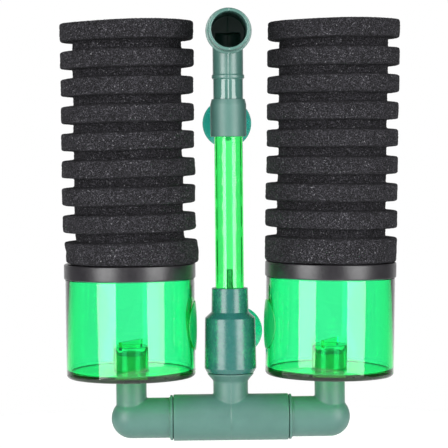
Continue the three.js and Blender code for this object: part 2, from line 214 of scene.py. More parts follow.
def round_corners(corners, steps=4):
    """Points of a closed outline whose corners are (radius, height) or (radius, height, fillet)."""
    points = []
    count = len(corners)
    for i, corner in enumerate(corners):
        here = Vector(corner[:2])
        before = Vector(corners[i - 1][:2]) - here
        after = Vector(corners[(i + 1) % count][:2]) - here
        fillet = corner[2] if len(corner) > 2 else 0
        if fillet <= 0 or before.length < 1e-6 or after.length < 1e-6:
            points.append(here)
            continue
        half = before.angle(after) / 2
        reach = min(fillet / math.tan(half), before.length * 0.49, after.length * 0.49)
        start = here + before.normalized() * reach
        end = here + after.normalized() * reach
        for k in range(steps + 1):
            t = k / steps
            points.append(start.lerp(here, t).lerp(here.lerp(end, t), t))
    return points


def new_object(name, mesh):
    obj = bpy.data.objects.new(name, mesh)
    bpy.context.scene.collection.objects.link(obj)
    return obj


def mesh_object(name, vertices, faces):
    mesh = bpy.data.meshes.new(name)
    mesh.from_pydata([tuple(v) for v in vertices], [], faces)
    bm = bmesh.new()
    bm.from_mesh(mesh)
    bmesh.ops.recalc_face_normals(bm, faces=bm.faces)
    bm.to_mesh(mesh)
    bm.free()
    return new_object(name, mesh)


def ring_faces(rows, columns, closed):
    """Quads between neighbouring rings of a grid of rows x columns vertices."""
    faces = []
    last = rows if closed else rows - 1
    for i in range(last):
        j = (i + 1) % rows
        for k in range(columns):
            n = (k + 1) % columns
            faces.append((i * columns + k, i * columns + n, j * columns + n, j * columns + k))
    return faces


def revolve(name, corners, segments=FINE, steps=4):
    """A turned piece about Z. An outline that starts on the axis also ends on it."""
    points = round_corners(corners, steps)
    capped = points[0].x == 0 and points[-1].x == 0
    rings = points[1:-1] if capped else points
    angles = np.arange(segments) * 2 * math.pi / segments
    vertices = []
    for point in rings:
        vertices += [(point.x * math.cos(a), point.x * math.sin(a), point.y) for a in angles]
    faces = ring_faces(len(rings), segments, not capped)
    if capped:
        first, last = len(vertices), len(vertices) + 1
        vertices += [(0, 0, points[0].y), (0, 0, points[-1].y)]
        end = (len(rings) - 1) * segments
        for k in range(segments):
            n = (k + 1) % segments
            faces.append((first, n, k))
            faces.append((last, end + k, end + n))
    return mesh_object(name, vertices, faces)


def rod(radius, start, end, segments=FINE):
    """A round bar between two points."""
    start, end = Vector(start), Vector(end)
    along = end - start
    bar = revolve("rod", [(0, 0), (radius, 0), (radius, along.length), (0, along.length)], segments)
    turn = along.to_track_quat("Z", "Y").to_matrix().to_4x4()
    bar.data.transform(Matrix.Translation(start) @ turn)
    return bar


def ball(radius, center):
    steps = FINE // 4
    arc = [(radius * math.sin(math.pi * i / steps), -radius * math.cos(math.pi * i / steps))
           for i in range(steps + 1)]
    arc[0], arc[-1] = (0, -radius), (0, radius)
    obj = revolve("ball", arc)
    obj.data.transform(Matrix.Translation(center))
    return obj


def block(size, center, turn=0):
    mesh = bpy.data.meshes.new("block")
    bm = bmesh.new()
    bmesh.ops.create_cube(bm, size=1)
    bm.to_mesh(mesh)
    bm.free()
    place = Matrix.Rotation(turn, 4, "Z") @ Matrix.Translation(center) @ Matrix.Diagonal((*size, 1))
    mesh.transform(place)
    return new_object("block", mesh)


def apply_modifiers(obj):
    graph = bpy.context.evaluated_depsgraph_get()
    mesh = bpy.data.meshes.new_from_object(obj.evaluated_get(graph))
    obj.modifiers.clear()
    obj.data = mesh
    return obj


def combine(obj, others, operation):
    """Joins or cuts obj with other solids, which are used up."""
    for other in others:
        modifier = obj.modifiers.new("combine", "BOOLEAN")
        modifier.operation = operation
        modifier.solver = "MANIFOLD"
        modifier.object = other
        apply_modifiers(obj)
        bpy.data.objects.remove(other)
    return obj


def soften(obj, voxel=VOXEL, passes=3):
    """Remeshes a solid finely and relaxes it, so that every edge gets a small moulded round."""
    remesh = obj.modifiers.new("remesh", "REMESH")
    remesh.mode = "VOXEL"
    remesh.voxel_size = voxel
    relax = obj.modifiers.new("relax", "SMOOTH")
    relax.factor = 0.5
    relax.iterations = passes
    return apply_modifiers(obj)


def smooth(obj, angle=40):
    for polygon in obj.data.polygons:
        polygon.use_smooth = True
    obj.data.set_sharp_from_angle(angle=math.radians(angle))
    return obj


def finish_piece(obj, name, place, material, body, slot, *nodes):
    """Moves a piece made in millimetres to its place and gives it its material and its body."""
    obj.name = name
    obj.data.name = name
    obj.data.transform(Matrix.Translation(COLUMN) @ Matrix.Scale(MM, 4) @ place)
    obj.data.materials.clear()
    obj.data.materials.append(material)
    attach(obj, body)
    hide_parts(*nodes)
    return obj


def stack_place(name, side):
    """The frame of a leaning stack: its axis passes through the pivot on the elbow's stem."""
    pivot = Vector((side * ARM_X, 0, LEAN_PIVOT_Z))
    lean = Matrix.Rotation(side * LEAN[name], 4, "Y")
    return Matrix.Translation(pivot) @ lean @ Matrix.Translation((0, 0, -LEAN_PIVOT_Z))


# ---- material helpers ----

class Nodes:
    """A short way to write a material's node tree."""

    def __init__(self, name):
        self.material = bpy.data.materials.new(name)
        self.material.use_nodes = True
        self.tree = self.material.node_tree
        self.shader = self.tree.nodes["Principled BSDF"]
        self.output = self.tree.nodes["Material Output"]
        self.place = self.add("ShaderNodeTexCoord").outputs["Object"]

    def add(self, kind, **values):
        node = self.tree.nodes.new(kind)
        for key, value in values.items():
            if key in node.inputs:
                node.inputs[key].default_value = value
            else:
                setattr(node, key, value)
        return node

    def link(self, source, target):
        self.tree.links.new(source, target)

    def noise(self, scale, detail=3, roughness=0.5, distortion=0):
        node = self.add("ShaderNodeTexNoise", Scale=scale, Detail=detail, Roughness=roughness)
        node.inputs["Distortion"].default_value = distortion
        self.link(self.place, node.inputs["Vector"])
        return node.outputs["Fac"]

    def ramp(self, source, stops):
        node = self.add("ShaderNodeValToRGB")
        elements = node.color_ramp.elements
        while len(elements) < len(stops):
            elements.new(0.5)
        for element, (position, color) in zip(elements, stops):
            element.position = position
            element.color = (*color, 1) if len(color) == 3 else color
        self.link(source, node.inputs["Fac"])
        return node.outputs["Color"]

    def remap(self, source, low, high, to_low, to_high):
        node = self.add("ShaderNodeMapRange")
        for key, value in zip(("From Min", "From Max", "To Min", "To Max"), (low, high, to_low, to_high)):
            node.inputs[key].default_value = value
        self.link(source, node.inputs["Value"])
        return node.outputs["Result"]

    def math(self, operation, first, second):
        node = self.add("ShaderNodeMath", operation=operation)
        for socket, value in zip(node.inputs, (first, second)):
            if isinstance(value, (int, float)):
                socket.default_value = value
            else:
                self.link(value, socket)
        return node.outputs[0]

    def bump(self, height, strength, distance, normal=None):
        node = self.add("ShaderNodeBump", Strength=strength, Distance=distance)
        self.link(height, node.inputs["Height"])
        if normal is not None:
            self.link(normal, node.inputs["Normal"])
        return node.outputs["Normal"]


def gray(value):
    return (value, value, value)


def moulded_plastic(name, colors, roughness, shine=0.5, seam_axis=None, polished_below=None):
    """Opaque moulded plastic: faint flow streaks and orange peel, with a parting line on some pieces.

    polished_below is the height in metres under which the surface is a smoother sliding fit.
    """
    n = Nodes(name)
    n.link(n.ramp(n.noise(90, 4, 0.6, 0.4), list(zip((0.3, 0.7), colors))), n.shader.inputs["Base Color"])
    split = n.add("ShaderNodeSeparateXYZ")
    n.link(n.place, split.inputs[0])
    gloss = n.remap(n.noise(400, 2), 0.3, 0.7, roughness - 0.04, roughness + 0.06)
    if polished_below is not None:
        polish = n.remap(split.outputs["Z"], polished_below, polished_below + 0.0004, 0.25, 1)
        gloss = n.math("MULTIPLY", gloss, polish)
    n.link(gloss, n.shader.inputs["Roughness"])
    relief = n.bump(n.noise(900, 2), 0.12, 0.0002)
    if seam_axis is not None:
        away = n.math("ABSOLUTE", split.outputs[seam_axis], 0)
        relief = n.bump(n.remap(away, 0.0, 0.00035, 1, 0), 0.6, 0.0003, relief)
    n.link(relief, n.shader.inputs["Normal"])
    n.shader.inputs["Specular IOR Level"].default_value = shine
    return n.material


def clear_plastic(name, depth, roughness, surface=(1, 1, 1), clarity=1):
    """Clear tinted plastic that darkens with the depth of material that light crosses.

    surface colours the light that crosses its skin, and clarity is the share that isn't scattered.
    """
    tint, density, shadow = depth
    n = Nodes(name)
    n.shader.inputs["Base Color"].default_value = (*surface, 1)
    n.shader.inputs["Transmission Weight"].default_value = clarity
    n.shader.inputs["IOR"].default_value = 1.49
    n.link(n.remap(n.noise(60, 3), 0.3, 0.7, roughness * 0.6, roughness * 1.4), n.shader.inputs["Roughness"])
    n.link(n.bump(n.noise(35, 2), 0.05, 0.0004), n.shader.inputs["Normal"])
    volume = n.add("ShaderNodeVolumeAbsorption", Density=density)
    volume.inputs["Color"].default_value = (*tint, 1)
    n.link(volume.outputs[0], n.output.inputs["Volume"])
    for_lamps = n.add("ShaderNodeBsdfTransparent")
    for_lamps.inputs["Color"].default_value = (*shadow, 1)
    path = n.add("ShaderNodeLightPath")
    mix = n.add("ShaderNodeMixShader")
    n.link(path.outputs["Is Shadow Ray"], mix.inputs[0])
    n.link(n.shader.outputs[0], mix.inputs[1])
    n.link(for_lamps.outputs[0], mix.inputs[2])
    n.link(mix.outputs[0], n.output.inputs["Surface"])
    return n.material


def soft_vinyl(name):
    """Translucent teal suction-cup vinyl with a faint bloom."""
    n = Nodes(name)
    n.link(n.ramp(n.noise(120, 3), list(zip((0.3, 0.7), VINYL_COLORS))), n.shader.inputs["Base Color"])
    n.link(n.remap(n.noise(200, 2), 0.3, 0.7, 0.18, 0.3), n.shader.inputs["Roughness"])
    n.link(n.bump(n.noise(60, 2), 0.05, 0.0004), n.shader.inputs["Normal"])
    n.shader.inputs["Transmission Weight"].default_value = 0.6
    n.shader.inputs["IOR"].default_value = 1.4
    n.shader.inputs["Specular IOR Level"].default_value = 0.2
    return n.material


def black_plastic(name):
    """Matt black plastic with a fine spark-eroded grain."""
    n = Nodes(name)
    n.link(n.ramp(n.noise(150, 4), list(zip((0.3, 0.7), LID_COLORS))), n.shader.inputs["Base Color"])
    n.link(n.remap(n.noise(500, 2), 0.3, 0.7, 0.30, 0.38), n.shader.inputs["Roughness"])
    n.link(n.bump(n.noise(1200, 2), 0.15, 0.0002), n.shader.inputs["Normal"])
    return n.material


def foam_material(name):
    """Black open-cell foam: half-millimetre pores painted dark as painted shade, paler struts as painted
    light, a random lighter or darker painted shading per cell for how it faces the light, and a few cells
    painted bright as painted glints.
    """
    n = Nodes(name)
    warp = n.add("ShaderNodeTexNoise", Scale=600, Detail=2)
    n.link(n.place, warp.inputs["Vector"])
    shifted = n.add("ShaderNodeVectorMath", operation="MULTIPLY_ADD")
    n.link(warp.outputs["Color"], shifted.inputs[0])
    shifted.inputs[1].default_value = gray(0.0006)
    n.link(n.place, shifted.inputs[2])
    cells = n.add("ShaderNodeTexVoronoi", feature="F1", Scale=1900)
    n.link(shifted.outputs[0], cells.inputs["Vector"])
    channels = n.add("ShaderNodeSeparateColor")
    n.link(cells.outputs["Color"], channels.inputs[0])
    facing = n.math("POWER", channels.outputs[0], 1.5)
    wall = n.remap(cells.outputs["Distance"], 0.25, 0.75, 0, 1)
    # painted glints: a few cells lifted to a bright colour as if catching the light
    painted_glint = n.remap(channels.outputs[1], 0.985, 0.99, 0, 1)
    patches = n.remap(n.noise(70, 3), 0.35, 0.65, -0.02, 0.02)
    # painted light and shade: pores darkened as painted shade, struts and cells facing the light brightened,
    # random patches added, then painted glints on top
    painted_light_tone = n.math("ADD", n.math("MULTIPLY", facing, 0.42), n.math("MULTIPLY", wall, 0.42))
    painted_light_tone = n.math("ADD", n.math("ADD", painted_light_tone, patches), n.math("MULTIPLY", painted_glint, 0.45))
    stops = [(0.0, (0.002, 0.002, 0.002)), (0.30, (0.009, 0.009, 0.010)), (0.65, (0.034, 0.032, 0.039)),
             (1.0, (0.19, 0.19, 0.20))]
    n.link(n.ramp(painted_light_tone, stops), n.shader.inputs["Base Color"])
    height = n.math("ADD", n.math("MULTIPLY", wall, 0.6), n.math("MULTIPLY", facing, 0.5))
    n.link(n.bump(height, 1.0, 0.0007), n.shader.inputs["Normal"])
    n.link(n.remap(n.noise(1500, 2), 0.3, 0.7, 0.75, 1.0), n.shader.inputs["Roughness"])
    n.shader.inputs["Specular IOR Level"].default_value = 0.15
    return n.material


def floor_material(name):
    n = Nodes(name)
    n.link(n.ramp(n.noise(6, 2), [(0.4, gray(0.93)), (0.6, gray(0.95))]), n.shader.inputs["Base Color"])
    n.shader.inputs["Roughness"].default_value = 0.8
    n.shader.inputs["Emission Color"].default_value = (1, 1, 1, 1)
    n.shader.inputs["Emission Strength"].default_value = 0.45
    return n.material


# ---- the pipework ----

def elbow_solid(bead_start, limb_length, leg_length):
    """An elbow with its corner at the origin: the wide limb runs along +X and the leg along +Z."""
    body = ball(PIPE_RADIUS, (0, 0, 0))
    combine(body, [
        rod(PIPE_RADIUS, (0, 0, 0), (limb_length, 0, 0)),
        rod(BEAD_RADIUS, (bead_start, 0, 0), (bead_start + BEAD_WIDTH, 0, 0)),
        rod(LEG_RADIUS, (0, 0, 0), (0, 0, LEG_BEAD[0] + 0.5)),
        rod(LEG_BEAD_RADIUS, (0, 0, LEG_BEAD[0]), (0, 0, LEG_BEAD[1])),
        rod(SPIGOT_RADIUS, (0, 0, LEG_BEAD[1] - 0.5), (0, 0, leg_length)),
    ], "UNION")
    combine(body, [
        rod(PIPE_BORE, (0, 0, 0), (limb_length + 1, 0, 0)),
        rod(LEG_BORE, (0, 0, 0), (0, 0, leg_length + 1)),
    ], "DIFFERENCE")
    return smooth(soften(body))


def tee_solid():
    cup_rim = height_of("tee", 1)
    stem = revolve("stem", [
        (0, TEE_RADIUS), (TEE_STEM_RADIUS, TEE_RADIUS), (TEE_STEM_RADIUS, cup_rim - 4.6, 2),
        (TEE_CUP_RADIUS, cup_rim - 0.7, 0.6), (TEE_CUP_RADIUS, cup_rim), (0, cup_rim),
    ])
    body = rod(TEE_RADIUS, (-TEE_HALF, 0, TEE_RADIUS), (TEE_HALF, 0, TEE_RADIUS))
    combine(body, [stem], "UNION")
    end = TEE_HALF + 1
    combine(body, [
        rod(PIPE_RADIUS + GAP, (-end, 0, TEE_RADIUS), (end, 0, TEE_RADIUS)),
        rod(SPIGOT_RADIUS + GAP, (0, 0, TEE_RADIUS), (0, 0, cup_rim + 1)),
    ], "DIFFERENCE")
    return smooth(soften(body))


def with_boss(shell, from_y, z):
    """Adds the blind socket behind a turned shell that takes a suction cup's knob."""
    boss = rod(BOSS_RADIUS, (0, from_y, z), (0, CUP_HUB_Y - GAP, z), COARSE)
    socket = rod(KNOB_RADIUS + GAP, (0, from_y + 2, z), (0, CUP_HUB_Y + 1, z), COARSE)
    combine(shell, [boss], "UNION")
    return combine(shell, [socket], "DIFFERENCE")


def chamber_solid():
    base = CHAMBER_BASE_Z
    top = height_of("air_chamber", 1)
    shoulder, neck = CHAMBER_SHOULDER_Z
    foot_radius, shoulder_radius = CHAMBER_FOOT_RADIUS, CHAMBER_SHOULDER_RADIUS
    seat = LIFT_BOTTOM - GAP
    shell = revolve("chamber", [
        (LEG_BORE, CHAMBER_SPIGOT_Z), (SPIGOT_RADIUS, CHAMBER_SPIGOT_Z, 0.5), (SPIGOT_RADIUS, base, 0.2),
        (CHAMBER_BASE_RADIUS, base, 0.4), (foot_radius, base + CHAMBER_FOOT_CHAMFER, 1.0),
        (shoulder_radius, shoulder, 1.2),
        (COLLAR_RADIUS[0], neck, 0.5), (COLLAR_RADIUS[1], top, 0.5), (LIFT_RADIUS + GAP, top, 0.2),
        (LIFT_RADIUS + GAP, seat), (LIFT_BORE, seat), (LIFT_BORE, neck + 0.5),
        (shoulder_radius - CHAMBER_WALL, shoulder - 1, 1), (foot_radius - CHAMBER_WALL, base + 4, 1),
        (LEG_BORE, base + CHAMBER_WALL, 0.5),
    ])
    with_boss(shell, shoulder_radius - CHAMBER_WALL + 0.5, LOWER_CUP_Z)
    hole = rod(NOZZLE_RADIUS + GAP, (0, HUB_RADIUS + 1, AIR_ARM_Z), (0, AIR_RISER_Y, AIR_ARM_Z), COARSE)
    return smooth(combine(shell, [hole], "DIFFERENCE"), 35)


def coupling_solid():
    bottom, top = height_of("coupling", 0), height_of("coupling", 1)
    seat = OUTLET_Z - OUTLET_LEG_LENGTH - GAP
    shell = revolve("coupling", [
        (LIFT_RADIUS + GAP, bottom, 0.3), (COUPLING_RADIUS, bottom, 0.5), (COUPLING_RADIUS, top - 3.1, 1.5),
        (COUPLING_RADIUS - 0.8, top, 0.5), (SPIGOT_RADIUS + GAP, top, 0.2), (SPIGOT_RADIUS + GAP, seat),
        (LIFT_BORE, seat), (LIFT_BORE, LIFT_TOP + GAP), (LIFT_RADIUS + GAP, LIFT_TOP + GAP),
    ])
    return smooth(with_boss(shell, COUPLING_RADIUS - 1.2, UPPER_CUP_Z), 35)


def inlet_solid():
    """The barbed hose nipple: an arm into the chamber's shoulder and an upright riser."""
    corner = (0, AIR_RISER_Y, AIR_ARM_Z)
    riser_top = AIR_ARM_Z + NIPPLE_HEIGHT
    first, second = AIR_ARM_Z + BARB_PITCH, AIR_ARM_Z + 2 * BARB_PITCH
    barbs = revolve("barbs", [
        (0, AIR_ARM_Z), (NIPPLE_RADIUS, AIR_ARM_Z), (NIPPLE_RADIUS, first), (BARB_RADIUS, first, 0.3),
        (NIPPLE_RADIUS, second), (BARB_RADIUS, second, 0.3), (NIPPLE_RADIUS, riser_top, 0.2), (0, riser_top),
    ], COARSE)
    barbs.data.transform(Matrix.Translation((0, AIR_RISER_Y, 0)))
    body = rod(NOZZLE_RADIUS, (0, AIR_ARM_START_Y, AIR_ARM_Z), corner, COARSE)
    shoulder = rod(BARB_RADIUS, (0, AIR_RISER_Y - BARB_RADIUS, AIR_ARM_Z),
                   (0, AIR_RISER_Y + NIPPLE_RADIUS, AIR_ARM_Z), COARSE)
    combine(body, [shoulder, barbs], "UNION")
    combine(body, [
        rod(AIR_BORE, (0, 0, AIR_ARM_Z), corner, COARSE),
        rod(AIR_BORE, (0, AIR_RISER_Y, AIR_ARM_Z - 1), (0, AIR_RISER_Y, riser_top + 1), COARSE),
    ], "DIFFERENCE")
    return smooth(soften(body, 0.2, 2))


def nozzle_solid():
    """The upright nozzle, with the hub that takes the hose nipple's arm."""
    bottom = height_of("air_nozzle", 0)
    body = revolve("nozzle", [
        (0, bottom), (HUB_RADIUS, bottom, 0.4), (HUB_RADIUS, AIR_ARM_Z + 3, 0.4),
        (NOZZLE_RADIUS, AIR_ARM_Z + 4.5), (NOZZLE_RADIUS, NOZZLE_TOP_Z, 0.4), (0, NOZZLE_TOP_Z),
    ], COARSE)
    socket_start = AIR_ARM_START_Y - GAP
    combine(body, [
        rod(NOZZLE_RADIUS + GAP, (0, socket_start, AIR_ARM_Z), (0, HUB_RADIUS + 1, AIR_ARM_Z), COARSE),
        rod(AIR_BORE, (0, 0, AIR_ARM_Z), (0, AIR_ARM_START_Y + 1, AIR_ARM_Z), COARSE),
        rod(AIR_BORE, (0, 0, AIR_ARM_Z - 1), (0, 0, NOZZLE_TOP_Z + 1), COARSE),
    ], "DIFFERENCE")
    return smooth(body, 35)


def lift_tube_solid():
    return smooth(revolve("lift", [
        (LIFT_BORE, LIFT_BOTTOM, 0.2), (LIFT_RADIUS, LIFT_BOTTOM, 0.2), (LIFT_RADIUS, LIFT_TOP, 0.2),
        (LIFT_BORE, LIFT_TOP, 0.2),
    ], TUBE_STEPS))


def suction_cup_solid():
    """A suction cup about Z whose rim lies at GLASS_Y."""
    radius = CUP_RADIUS
    rim = GLASS_Y
    return smooth(revolve("cup", [
        (0, CUP_KNOB_Y), (KNOB_RADIUS, CUP_KNOB_Y, 0.6), (KNOB_RADIUS, CUP_HUB_Y),
        (CUP_HUB_RADIUS, CUP_HUB_Y, 0.8), (CUP_HUB_RADIUS + 0.5, CUP_HUB_Y + 6, 2),
        (radius - 1.2, rim - 3.5, 2), (radius, rim - 1, 0.3), (radius, rim, 0.2),
        (radius - 1.4, rim, 0.2), (radius - 3.2, rim - 2.4, 0.8), (4, rim - 9, 1.5), (0, rim - 9.5),
    ]), 50)


# ---- canister stacks ----

def pad_solid():
    """The canister's raised round pad: a low dome wrapped onto the wall."""
    root, rim, steps = -1, 0.25, 12
    arc = [(PAD_RADIUS * math.cos(math.pi / 2 * i / steps),
            rim + (PAD_PROUD - rim) * math.sin(math.pi / 2 * i / steps)) for i in range(steps)]
    pad = revolve("pad", [(0, root), (PAD_RADIUS, root), *arc, (0, PAD_PROUD)])
    wall = CANISTER_RADIUS[0]
    for vertex in pad.data.vertices:
        across, up, height = vertex.co
        angle = math.asin(across / wall)
        radius = wall + height
        vertex.co = (radius * math.cos(angle), radius * math.sin(angle), PAD_Z + up)
    return pad


def canister_solid():
    """A canister with its sleeve, guard bar and raised round pad, which faces +X."""
    bottom, top = CANISTER_Z
    foot, shoulder = CANISTER_RADIUS
    floor = bottom + CANISTER_FLOOR
    neck = LID_Z[0] - GAP
    stem_hole = SPIGOT_RADIUS + GAP
    bead_recess = LEG_BEAD_RADIUS + 0.5
    recess_top = TEE_RADIUS + LEG_BEAD[1] + GAP
    shell = revolve("canister", [
        (stem_hole, recess_top), (bead_recess, recess_top), (bead_recess, bottom, 0.3), (foot, bottom, 2.4),
        (shoulder, neck, 0.3), (RIM_RADIUS, neck, 0.2), (RIM_RADIUS, top, 0.4),
        (shoulder - CANISTER_WALL, top, 0.3), (foot - CANISTER_WALL, floor, 1.6),
        (SLEEVE_RADIUS, floor, 0.8), (SLEEVE_RADIUS, SLEEVE_TOP_Z, 0.3), (stem_hole, SLEEVE_TOP_Z, 0.3),
    ], BROAD)
    bar = block(BRIDGE_SIZE, (0, 0, BRIDGE_TOP_Z - BRIDGE_SIZE[2] / 2), BRIDGE_TURN)
    return smooth(combine(shell, [pad_solid(), bar], "UNION"), 30)


def special_faces(canister):
    """The canister's faces with a look of their own: its raised pad is 1, and a band round its rounded foot,
    painted dark as painted shade where the thick foot darkens, is 2.
    """
    wall = max(CANISTER_RADIUS)
    bottom = CANISTER_Z[0]
    past_rim = 0.5
    found = {}
    for polygon in canister.data.polygons:
        x, y, z = polygon.center
        radius = math.hypot(x, y)
        if x > 0 and radius > wall + 0.02 and math.hypot(y, z - PAD_Z) < PAD_RADIUS + past_rim:
            found[polygon.index] = 1
        elif radius > CANISTER_RADIUS[0] - SHADE_BAND_WIDTH and z < bottom + SHADE_BAND_HEIGHT:
            found[polygon.index] = 2
    return found


def lid_solid():
    bottom, top = LID_Z
    bore = STRAINER_RADIUS + GAP
    inside = RIM_RADIUS + GAP
    return smooth(revolve("lid", [
        (inside, bottom, 0.2), (LID_RADIUS - 0.2, bottom, 0.5), (LID_RADIUS, bottom + 1),
        (LID_RADIUS, top, 0.9), (bore, top, 0.3), (bore, top - LID_PLATE), (inside, top - LID_PLATE, 0.5),
    ], BROAD), 35)


def strainer_solid():
    """The slotted tube that carries the sponge."""
    top = STRAINER_TOP_Z
    flange_top = LID_Z[1] - LID_PLATE - GAP
    flange_bottom = flange_top - FLANGE_THICKNESS
    bore = STRAINER_RADIUS - STRAINER_WALL
    tube = revolve("strainer", [
        (0, top - STRAINER_WALL), (bore, top - STRAINER_WALL, 1), (bore, flange_bottom),
        (FLANGE_RADIUS, flange_bottom, 0.3), (FLANGE_RADIUS, flange_top, 0.3), (STRAINER_RADIUS, flange_top),
        (STRAINER_RADIUS, top, 2), (0, top),
    ])
    levels, spokes, width, bridge, first_slot = 2, 4, 3, 6, 4
    pitch = (top - LID_Z[1] - bridge) / levels
    slots = []
    for level in range(levels):
        z = LID_Z[1] + first_slot + (level + 0.5) * pitch
        for i in range(spokes):
            slots.append(block((3 * STRAINER_RADIUS, width, pitch - bridge), (0, 0, z), i * math.pi / spokes))
    return smooth(combine(tube, slots, "DIFFERENCE"), 35)


def smooth_waves(rng, count, lowest, highest):
    """A seeded sum of waves round the axis and along it, as [(turns, per_mm, phase, size)]."""
    waves = []
    for _ in range(count):
        waves.append((rng.randint(lowest, highest), rng.uniform(-0.25, 0.25), rng.uniform(0, 2 * math.pi),
                      rng.uniform(0.4, 1)))
    return waves


def wave_height(waves, angle, along):
    total = np.zeros_like(angle)
    for turns, per_mm, phase, size in waves:
        total += size * np.sin(turns * angle + per_mm * along + phase)
    return total / math.sqrt(len(waves))


def sponge_outline(radius):
    """The section of a ringed sponge: its bore, its underside, its rings and its top."""
    bottom, top = SPONGE_Z
    bore = [(0, SPONGE_BORE_TOP_Z), (SPONGE_BORE, SPONGE_BORE_TOP_Z, 1)]
    corners = [(SPONGE_BORE, bottom, 1)]
    for i in range(RING_COUNT):
        ring_bottom = top - TOP_RING_THICKNESS - (RING_COUNT - 1 - i) * RING_PITCH
        ring_top = top if i == RING_COUNT - 1 else ring_bottom + RING_THICKNESS
        if i == 0:
            ring_bottom = bottom
        else:
            corners.append((CORE_RADIUS, ring_bottom - RING_FLARE, GROOVE_FILLET))
        corners += [(radius, ring_bottom, RING_FILLET), (radius, ring_top, RING_FILLET)]
        if i < RING_COUNT - 1:
            corners.append((CORE_RADIUS, ring_top + RING_FLARE, GROOVE_FILLET))
    corners.append((0, top))
    points = round_corners(bore + corners)
    hidden = [p for p in points if p.x <= SPONGE_BORE and p.y > bottom + 2 and p.y < top]
    shown = points[len(hidden):]
    return resample(hidden + shown[:1], 4) + resample(shown, SPONGE_GRAIN)[1:]


def resample(points, step):
    """Adds points so that no stretch of an outline is longer than step."""
    dense = [points[0]]
    for a, b in zip(points, points[1:]):
        pieces = max(1, math.ceil((b - a).length / step))
        for k in range(1, pieces + 1):
            dense.append(a.lerp(b, k / pieces))
    return dense


def sponge_solid(radius, tilt, lift, foot_shift, seed):
    """A foam sponge: hand-cut rings that wander, torn cells at the surface, and its own sag.

    tilt is the rings' slope across X at the foot and at the top, lift raises the lower grooves,
    foot_shift pushes the bottom ring sideways and curls up its trailing edge, and the top ring is
    the roundest.
    """
    rng = random.Random(seed)
    bottom, top = SPONGE_Z
    outline = sponge_outline(radius)
    segments = SPONGE_STEPS
    rings = outline[1:-1]
    shape = (len(rings), segments)
    r = np.broadcast_to(np.array([p.x for p in rings])[:, None], shape)
    z = np.broadcast_to(np.array([p.y for p in rings])[:, None], shape)
    angle = np.broadcast_to(np.arange(segments)[None, :] * 2 * math.pi / segments, shape)
    outside = np.clip((r - 25) / 6, 0, 1)
    grain = np.random.default_rng(seed)
    calm_top = 1 - 0.9 * np.clip((z - top + 13) / 2, 0, 1)
    r = r + outside * calm_top * 0.35 * wave_height(smooth_waves(rng, 7, 1, 4), angle, z)
    r = r + outside * 0.10 * wave_height(smooth_waves(rng, 9, 5, 14), angle, z * 4)
    r = r + outside * np.clip(0.10 * grain.normal(size=shape), -0.25, 0.2)
    z = z + outside * 0.25 * wave_height(smooth_waves(rng, 6, 1, 5), angle, z * 2)
    z = z + outside * np.clip(0.05 * grain.normal(size=shape), -0.12, 0.12)
    x, y = r * np.cos(angle), r * np.sin(angle)
    share = np.clip((z - bottom) / (top - bottom), 0, 1)
    above_foot = np.clip((z - bottom) / 10, 0, 1)
    z = z + lift * above_foot * (1 - share)
    z = z + (tilt[0] + (tilt[1] - tilt[0]) * share) * x * above_foot
    foot = outside * np.clip(1.6 - (z - bottom) / 10, 0, 1)
    x = x + foot_shift * foot
    z = z + foot_shift * 0.5 * foot * np.clip(-x / radius, 0, 1) ** 3
    z = np.maximum(z, bottom)
    vertices = np.stack([x, y, z], axis=-1).reshape(-1, 3).tolist()
    faces = ring_faces(len(rings), segments, False)
    first, last = len(vertices), len(vertices) + 1
    vertices += [(0, 0, outline[0].y), (0, 0, outline[-1].y)]
    end = (len(rings) - 1) * segments
    for k in range(segments):
        n = (k + 1) % segments
        faces.append((first, n, k))
        faces.append((last, end + k, end + n))
    return smooth(mesh_object("sponge", vertices, faces), 180)


# ---- assembly ----

def build_column(fitting):
    seamed = moulded_plastic("tee_plastic", FITTING_COLORS, 0.45, seam_axis="X")
    dark = moulded_plastic("chamber_plastic", CHAMBER_COLORS, 0.26, 0.6)
    polished_below = COLUMN.z + (OUTLET_Z - LEG_BEAD[1]) * MM
    outlet = moulded_plastic("outlet_plastic", FITTING_COLORS, 0.34, 0.72, "X", polished_below)
    tube = clear_plastic("lift_tube_plastic", TUBE_DEPTH, 0.02)
    vinyl = soft_vinyl("suction_cup_vinyl")

    finish_piece(tee_solid(), "tee_body", CENTER, seamed, "tee", "fittings", "tee")
    finish_piece(chamber_solid(), "chamber_body", CHAMBER_TURN, dark, "air_chamber", "chamber", "air_chamber")
    finish_piece(inlet_solid(), "hose_nipple", CHAMBER_TURN, dark, "air_chamber", "chamber", "air_inlet")
    finish_piece(nozzle_solid(), "nozzle", CHAMBER_TURN, dark, "air_chamber", "chamber", "air_nozzle")
    finish_piece(lift_tube_solid(), "clear_lift_tube", CENTER, tube, "lift_tube", "clear_tube", "lift_tube")
    finish_piece(coupling_solid(), "tube_coupling", CENTER, fitting, "lift_tube", "fittings", "coupling")

    corner = Matrix.Translation((0, 0, OUTLET_Z))
    turned = Matrix.Rotation(-math.pi / 2, 4, "Z") @ Matrix.Rotation(math.pi, 4, "X")
    bend = elbow_solid(OUTLET_BEAD_Y, GLASS_Y, OUTLET_LEG_LENGTH)
    finish_piece(bend, "outlet_bend", corner @ turned, outlet, "outlet_elbow", "outlet", "outlet_elbow")

    to_back = Matrix.Rotation(-math.pi / 2, 4, "X")
    upper = Matrix.Translation((0, 0, UPPER_CUP_Z)) @ to_back
    lower = CHAMBER_TURN @ Matrix.Translation((0, 0, LOWER_CUP_Z)) @ to_back
    for name, place in (("upper", upper), ("lower", lower)):
        node = f"{name}_suction_cup"
        finish_piece(suction_cup_solid(), f"{name}_cup", place, vinyl, node, "suction_cups", node)


